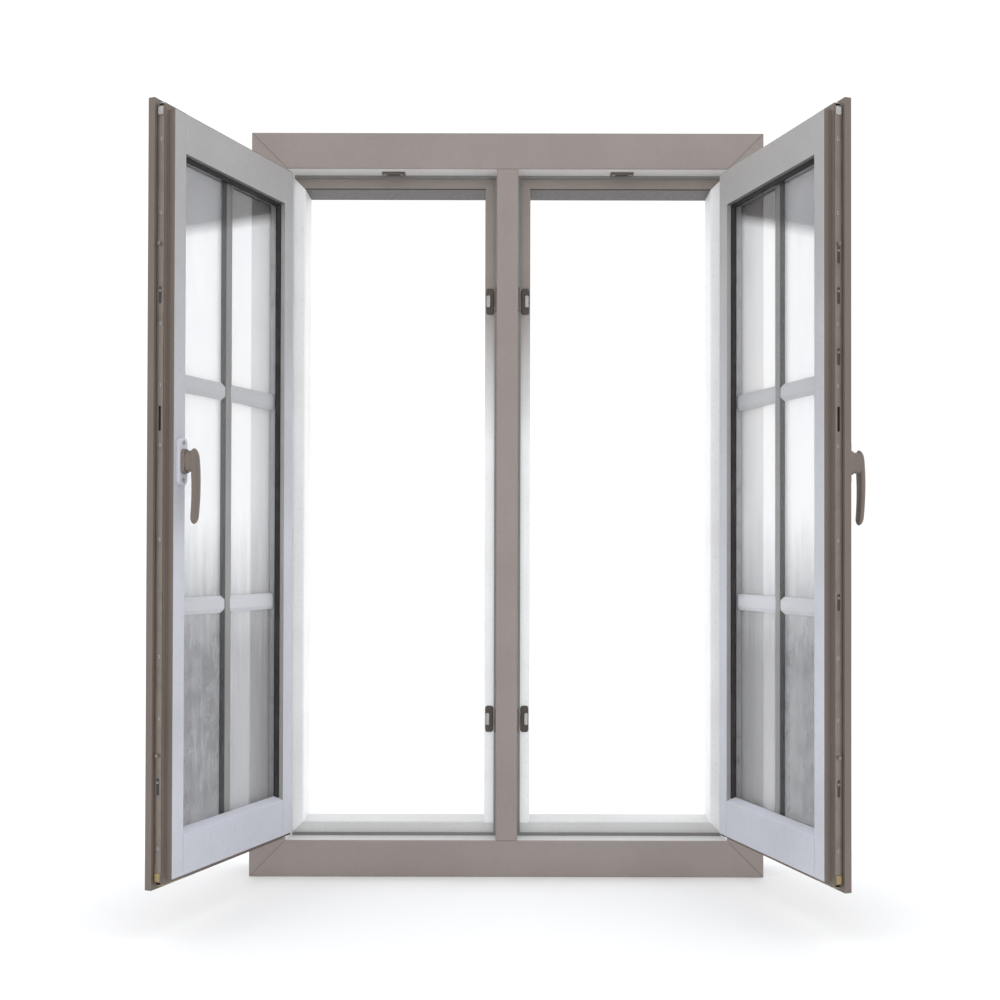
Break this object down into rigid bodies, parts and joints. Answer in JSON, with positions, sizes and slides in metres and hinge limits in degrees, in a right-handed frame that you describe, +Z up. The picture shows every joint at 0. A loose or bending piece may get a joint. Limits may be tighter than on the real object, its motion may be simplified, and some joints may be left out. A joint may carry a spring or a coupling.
{
  "type": "two-leaf casement window with a fixed mullion",
  "caption": "Aluminium casement window standing open, with hinged barred double-glazed sashes, lever handles, a mitred frame and a fixed mullion.",
  "frame": {"origin": "underside of the sill, at mid width and mid depth of the frame", "axes": "+X right as seen from the room, +Y towards outdoors, +Z up"},
  "size_m": [1.1695, 0.5191, 1.45],
  "materials": {
    "frame_coat": "satin powder coat",
    "sash_coat": "satin powder coat",
    "bead_coat": "satin powder coat",
    "bar_coat": "satin powder coat",
    "seal": "matte",
    "spacer": "matte",
    "glass": "clear",
    "keep_coat": "satin",
    "hinge_metal": "satin powder coat",
    "faceplate_metal": "brushed",
    "handle_coat": "satin powder coat"
  },
  "bodies": {
    "frame": {"frame_head": "frame_coat", "frame_hinges_left": "hinge_metal", "frame_hinges_right": "hinge_metal", "frame_jamb_left": "frame_coat", "frame_jamb_right": "frame_coat", "frame_seal_left": "seal", "frame_seal_right": "seal", "frame_sill": "frame_coat", "head_keep_left": "keep_coat", "head_keep_right": "keep_coat", "mullion": "frame_coat", "mullion_keeps_left": "keep_coat", "mullion_keeps_right": "keep_coat"},
    "left_sash": {"left_bottom_rail": "sash_coat", "left_cross_bars": "bar_coat", "left_glass": "glass", "left_glass_seal": "seal", "left_glass_spacer": "spacer", "left_glazing_bead": "bead_coat", "left_handle_rose": "handle_coat", "left_hinge_stile": "sash_coat", "left_lock_faceplate": "faceplate_metal", "left_lock_stile": "sash_coat", "left_sash_hinges": "hinge_metal", "left_top_rail": "sash_coat", "left_vertical_bars": "bar_coat"},
    "right_sash": {"right_bottom_rail": "sash_coat", "right_cross_bars": "bar_coat", "right_glass": "glass", "right_glass_seal": "seal", "right_glass_spacer": "spacer", "right_glazing_bead": "bead_coat", "right_handle_rose": "handle_coat", "right_hinge_stile": "sash_coat", "right_lock_faceplate": "faceplate_metal", "right_lock_stile": "sash_coat", "right_sash_hinges": "hinge_metal", "right_top_rail": "sash_coat", "right_vertical_bars": "bar_coat"},
    "left_lever": {"left_handle_lever": "handle_coat"},
    "right_lever": {"right_handle_lever": "handle_coat"}
  },
  "joints": [
    {"name": "left_sash_hinge", "type": "hinge", "parent": "frame", "child": "left_sash", "pos_m": [-0.438, -0.069, 0.25], "axis": [0, 0, -1], "range_deg": [-111.7, 8.3]},
    {"name": "right_sash_hinge", "type": "hinge", "parent": "frame", "child": "right_sash", "pos_m": [0.438, -0.069, 0.25], "axis": [0, 0, 1], "range_deg": [-108.9, 11.1]},
    {"name": "left_lever_turn", "type": "hinge", "parent": "left_sash", "child": "left_lever", "pos_m": [-0.52965, -0.43183, 0.777], "axis": [0.9291, -0.3697, 0], "range_deg": [0, 90]},
    {"name": "right_lever_turn", "type": "hinge", "parent": "right_sash", "child": "right_lever", "pos_m": [0.55419, -0.43616, 0.777], "axis": [0.9461, 0.3239, 0], "range_deg": [0, 90]}
  ]
}
